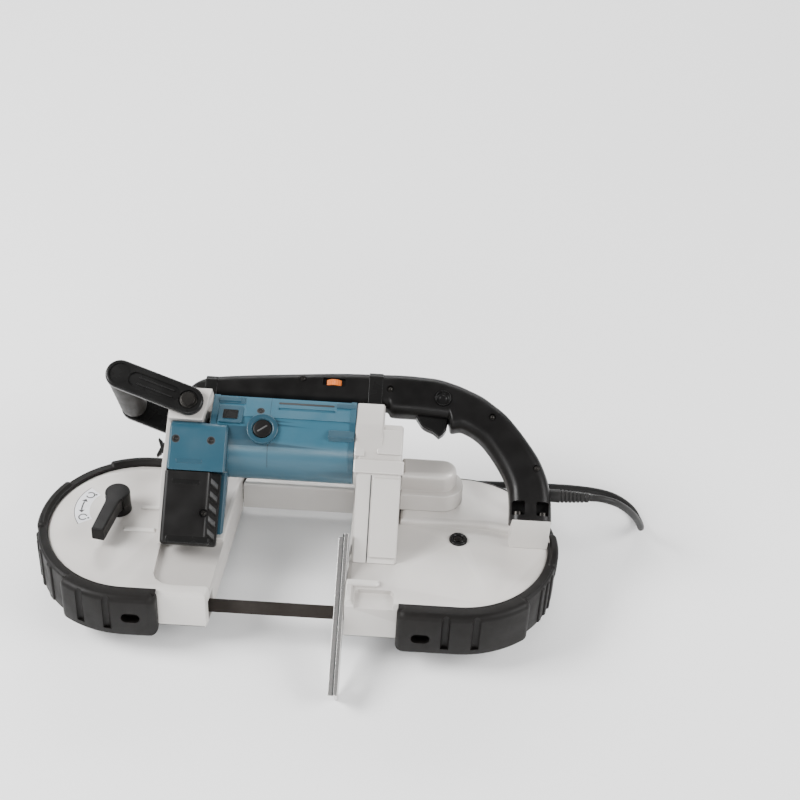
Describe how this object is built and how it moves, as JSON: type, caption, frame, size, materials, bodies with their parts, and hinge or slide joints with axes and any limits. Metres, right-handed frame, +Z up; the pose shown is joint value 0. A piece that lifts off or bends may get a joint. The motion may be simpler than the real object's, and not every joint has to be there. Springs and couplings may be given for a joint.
{
  "type": "portable band saw",
  "caption": "Hand-held deep-cut band saw with a twisted blade in an open throat, round wheel housings, a cross-mounted motor, a D-shaped rear handle and a swinging front handle.",
  "frame": {"origin": "centre of the underside of the saw as it lies on its work stop and rubber bumpers", "axes": "+X along the blade from the idler wheel to the drive wheel, +Y from the blade into the throat, +Z up towards the motor"},
  "size_m": [0.6116, 0.3866, 0.1857],
  "materials": {
    "casting": "satin silver paint",
    "motor_blue": "satin moulded",
    "black_plastic": "fine texture",
    "rubber": "matte",
    "steel": "machined",
    "blade_steel": "dark rolled",
    "wheel_casting": "as cast",
    "dial_orange": "satin",
    "carbon": "matte",
    "core": "laminated",
    "grey_nylon": "satin"
  },
  "bodies": {
    "root": {"main_frame": "casting", "left_bumper": "rubber", "right_bumper": "rubber", "idler_wheel_guard": "black_plastic", "drive_wheel_guard": "black_plastic", "idler_guard_screw": "steel", "drive_guard_screw": "steel", "blade": "blade_steel", "left_guide_block": "steel", "right_guide_block": "steel", "gear_housing": "casting", "bevel_gear_case": "casting", "motor_bracket": "casting", "motor_housing": "motor_blue", "brush_cap_front": "black_plastic", "brush_cap_rear": "black_plastic", "carbon_brush_front": "carbon", "carbon_brush_rear": "carbon", "field_core": "core", "armature_bearing_right": "steel", "shaft_seal": "rubber", "end_cover": "motor_blue", "vent_cover": "black_plastic", "handle_shell_front": "black_plastic", "handle_shell_rear": "black_plastic", "handle_bolt_left": "steel", "handle_bolt_right": "steel", "switch_body": "black_plastic", "handle_pivot_front": "steel", "handle_pivot_rear": "steel", "strain_relief": "rubber", "power_cord": "rubber", "cord_coil": "rubber", "plug": "black_plastic"},
    "drive_wheel_assembly": {"drive_wheel": "wheel_casting", "drive_tyre": "rubber", "drive_gear": "steel", "drive_shaft": "steel"},
    "bevel_shaft": {"bevel_gear_shaft": "steel"},
    "intermediate": {"intermediate_shaft": "steel"},
    "armature": {"armature": "core", "fan": "grey_nylon"},
    "tension_slide": {"tension_slide": "wheel_casting", "idler_axle": "steel"},
    "idler_wheel_assembly": {"idler_wheel": "wheel_casting", "idler_tyre": "rubber", "idler_bearing": "steel"},
    "tension_lever": {"tension_lever": "black_plastic"},
    "left_front_roller": {"left_guide_roller_front": "steel"},
    "left_rear_roller": {"left_guide_roller_rear": "steel"},
    "left_back_roller": {"left_back_roller": "steel"},
    "right_front_roller": {"right_guide_roller_front": "steel"},
    "right_rear_roller": {"right_guide_roller_rear": "steel"},
    "right_back_roller": {"right_back_roller": "steel"},
    "work_stop": {"work_stop": "steel"},
    "trigger": {"trigger": "black_plastic"},
    "lock_button": {"lock_button": "black_plastic"},
    "speed_dial": {"speed_dial": "dial_orange"},
    "front_handle": {"front_handle": "black_plastic"},
    "bracket_knob": {"bracket_knob": "black_plastic"}
  },
  "joints": [
    {"name": "drive_wheel_spin", "type": "hinge", "parent": "root", "child": "drive_wheel_assembly", "pos_m": [0.158, 0.00826, 0.0307], "axis": [0, 0.1392, 0.9903], "continuous": true},
    {"name": "bevel_shaft_spin", "type": "hinge", "parent": "root", "child": "bevel_shaft", "pos_m": [0.139, 0.06491, 0.0601], "axis": [0, 0.1392, 0.9903], "continuous": true},
    {"name": "intermediate_spin", "type": "hinge", "parent": "root", "child": "intermediate", "pos_m": [0.09, 0.06795, 0.08179], "axis": [1, 0, 0], "continuous": true},
    {"name": "armature_spin", "type": "hinge", "parent": "root", "child": "armature", "pos_m": [0, 0.08026, 0.11298], "axis": [1, 0, 0], "continuous": true},
    {"name": "tension_slide_move", "type": "slide", "parent": "root", "child": "tension_slide", "axis": [1, 0, 0], "range_m": [0, 0.003]},
    {"name": "tension_lever_turn", "type": "hinge", "parent": "root", "child": "tension_lever", "pos_m": [-0.182, 0.02827, 0.06525], "axis": [0, 0.1392, 0.9903], "range_deg": [-90, 0]},
    {"name": "idler_wheel_spin", "type": "hinge", "parent": "tension_slide", "child": "idler_wheel_assembly", "pos_m": [-0.158, 0.00826, 0.0307], "axis": [0, 0.1392, 0.9903], "continuous": true},
    {"name": "left_front_roller_spin", "type": "hinge", "parent": "root", "child": "left_front_roller", "pos_m": [-0.0905, -0.07443, 0.04719], "axis": [0, 0.9063, 0.4226], "continuous": true},
    {"name": "left_rear_roller_spin", "type": "hinge", "parent": "root", "child": "left_rear_roller", "pos_m": [-0.0905, -0.06957, 0.03677], "axis": [0, 0.9063, 0.4226], "continuous": true},
    {"name": "left_back_roller_spin", "type": "hinge", "parent": "root", "child": "left_back_roller", "pos_m": [-0.0905, -0.06031, 0.04743], "axis": [0, -0.4226, 0.9063], "continuous": true},
    {"name": "right_front_roller_spin", "type": "hinge", "parent": "root", "child": "right_front_roller", "pos_m": [0.061, -0.07443, 0.04719], "axis": [0, 0.9063, 0.4226], "continuous": true},
    {"name": "right_rear_roller_spin", "type": "hinge", "parent": "root", "child": "right_rear_roller", "pos_m": [0.061, -0.06957, 0.03677], "axis": [0, 0.9063, 0.4226], "continuous": true},
    {"name": "right_back_roller_spin", "type": "hinge", "parent": "root", "child": "right_back_roller", "pos_m": [0.061, -0.06031, 0.04743], "axis": [0, -0.4226, 0.9063], "continuous": true},
    {"name": "work_stop_slide", "type": "slide", "parent": "root", "child": "work_stop", "axis": [0, 0.9063, 0.4226], "range_m": [0, 0.05]},
    {"name": "trigger_pull", "type": "slide", "parent": "root", "child": "trigger", "axis": [0, 0.9063, 0.4226], "range_m": [0, 0.005], "stiffness_N_per_m": 600},
    {"name": "lock_button_press", "type": "slide", "parent": "root", "child": "lock_button", "axis": [0, 0.4226, -0.9063], "range_m": [0, 0.0025], "stiffness_N_per_m": 600},
    {"name": "speed_dial_turn", "type": "hinge", "parent": "root", "child": "speed_dial", "pos_m": [0.0251, 0.12618, 0.14465], "axis": [0, 0.9063, 0.4226], "range_deg": [-120, 120]},
    {"name": "front_handle_swing", "type": "hinge", "parent": "root", "child": "front_handle", "pos_m": [-0.1129, 0.09893, 0.12169], "axis": [0, -0.4226, 0.9063], "range_deg": [-60, 4]},
    {"name": "bracket_knob_turn", "type": "hinge", "parent": "root", "child": "bracket_knob", "pos_m": [-0.14, 0.07062, 0.10407], "axis": [1, 0, 0], "range_deg": [-90, 0]}
  ],
  "couplings": [
    {"joint": "bevel_shaft_spin", "follows": "drive_wheel_spin", "ratio": -3.5833},
    {"joint": "intermediate_spin", "follows": "drive_wheel_spin", "ratio": 8.9583},
    {"joint": "armature_spin", "follows": "drive_wheel_spin", "ratio": -20.551},
    {"joint": "idler_wheel_spin", "follows": "drive_wheel_spin", "ratio": 1},
    {"joint": "tension_lever_turn", "follows": "tension_slide_move", "rad_per_m": -523.6},
    {"joint": "left_front_roller_spin", "follows": "drive_wheel_spin", "ratio": -16.15},
    {"joint": "left_rear_roller_spin", "follows": "drive_wheel_spin", "ratio": 16.15},
    {"joint": "left_back_roller_spin", "follows": "drive_wheel_spin", "ratio": 13.46},
    {"joint": "right_front_roller_spin", "follows": "drive_wheel_spin", "ratio": -16.15},
    {"joint": "right_rear_roller_spin", "follows": "drive_wheel_spin", "ratio": 16.15},
    {"joint": "right_back_roller_spin", "follows": "drive_wheel_spin", "ratio": 13.46}
  ]
}
